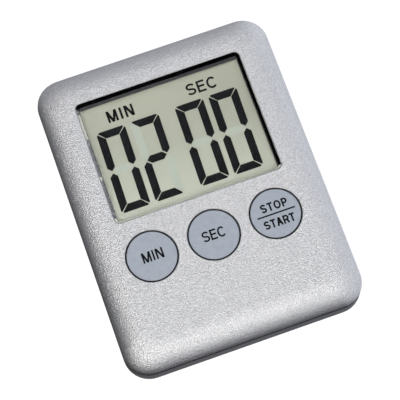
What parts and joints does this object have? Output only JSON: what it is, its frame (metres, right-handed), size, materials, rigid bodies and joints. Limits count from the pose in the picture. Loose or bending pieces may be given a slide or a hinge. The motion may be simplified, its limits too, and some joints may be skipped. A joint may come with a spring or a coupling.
{
  "type": "digital kitchen timer",
  "caption": "Slim electronic kitchen timer with a silver case, sunk display, flush round keys, fold-out stand, magnets and a twist-off battery cap.",
  "frame": {"origin": "middle of the flat back face, with the timer lying on its back", "axes": "+X to the right of the display, +Y towards the top of the display, +Z out of the face"},
  "size_m": [0.0654, 0.0846, 0.0127],
  "materials": {
    "silver_paint": "fine sandy satin silver paint over moulded plastic",
    "grey_plastic": "fine-textured dark grey moulded plastic",
    "window_clear": "clear polished",
    "key_plastic": "smooth matt blue-grey",
    "black_plastic": "matt black",
    "display_film": "satin grey-green film",
    "display_glass": "clear polished",
    "silicone": "matt grey silicone rubber",
    "carbon": "matt black conductive rubber",
    "board_green": "green solder mask",
    "steel": "satin steel",
    "nickel": "satin nickel plate",
    "brass": "rolled brass",
    "ceramic": "unglazed",
    "coil_black": "matt black",
    "red_wire": "red insulation",
    "black_wire": "black insulation"
  },
  "bodies": {
    "case": {"front_shell": "silver_paint", "rear_shell": "grey_plastic", "window_lens": "window_clear", "display_holder": "black_plastic", "front_polariser": "display_film", "front_glass": "display_glass", "rear_glass": "display_glass", "reflector": "display_film", "contact_strip": "silicone", "circuit_board": "board_green", "chip_blob": "black_plastic", "crystal_can": "nickel", "chip_capacitor_1": "ceramic", "chip_capacitor_2": "ceramic", "chip_resistor_1": "black_plastic", "chip_resistor_2": "black_plastic", "buzzer_coil": "coil_black", "buzzer_transistor": "black_plastic", "keypad": "silicone", "button_cell": "steel", "positive_contact": "nickel", "negative_contact": "nickel", "buzzer_plate": "brass", "buzzer_ceramic": "ceramic", "buzzer_wire_red": "red_wire", "buzzer_wire_black": "black_wire", "magnet_left": "nickel", "magnet_right": "nickel", "case_screw_1": "steel", "case_screw_2": "steel", "case_screw_3": "steel", "case_screw_4": "steel", "board_screw_1": "steel", "board_screw_2": "steel", "board_screw_3": "steel", "board_screw_4": "steel"},
    "min_key": {"min_key": "key_plastic", "min_pill": "carbon"},
    "sec_key": {"sec_key": "key_plastic", "sec_pill": "carbon"},
    "start_stop_key": {"start_stop_key": "key_plastic", "start_stop_pill": "carbon"},
    "kickstand": {"kickstand": "grey_plastic"},
    "battery_cap": {"battery_cap": "grey_plastic"}
  },
  "joints": [
    {"name": "min_key_press", "type": "slide", "parent": "case", "child": "min_key", "axis": [0, 0, -1], "range_m": [0, 0.0008], "stiffness_N_per_m": 300, "springref_m": -0.0008, "deforming": ["keypad"]},
    {"name": "sec_key_press", "type": "slide", "parent": "case", "child": "sec_key", "axis": [0, 0, -1], "range_m": [0, 0.0008], "stiffness_N_per_m": 300, "springref_m": -0.0008, "deforming": ["keypad"]},
    {"name": "start_stop_key_press", "type": "slide", "parent": "case", "child": "start_stop_key", "axis": [0, 0, -1], "range_m": [0, 0.0008], "stiffness_N_per_m": 300, "springref_m": -0.0008, "deforming": ["keypad"]},
    {"name": "stand_hinge", "type": "hinge", "parent": "case", "child": "kickstand", "pos_m": [0, 0.0198, 0.0009], "axis": [1, 0, 0], "range_deg": [0, 75]},
    {"name": "battery_cap_turn", "type": "hinge", "parent": "case", "child": "battery_cap", "pos_m": [-0.016, -0.03, 0.0012], "axis": [0, 0, -1], "range_deg": [0, 45]}
  ]
}
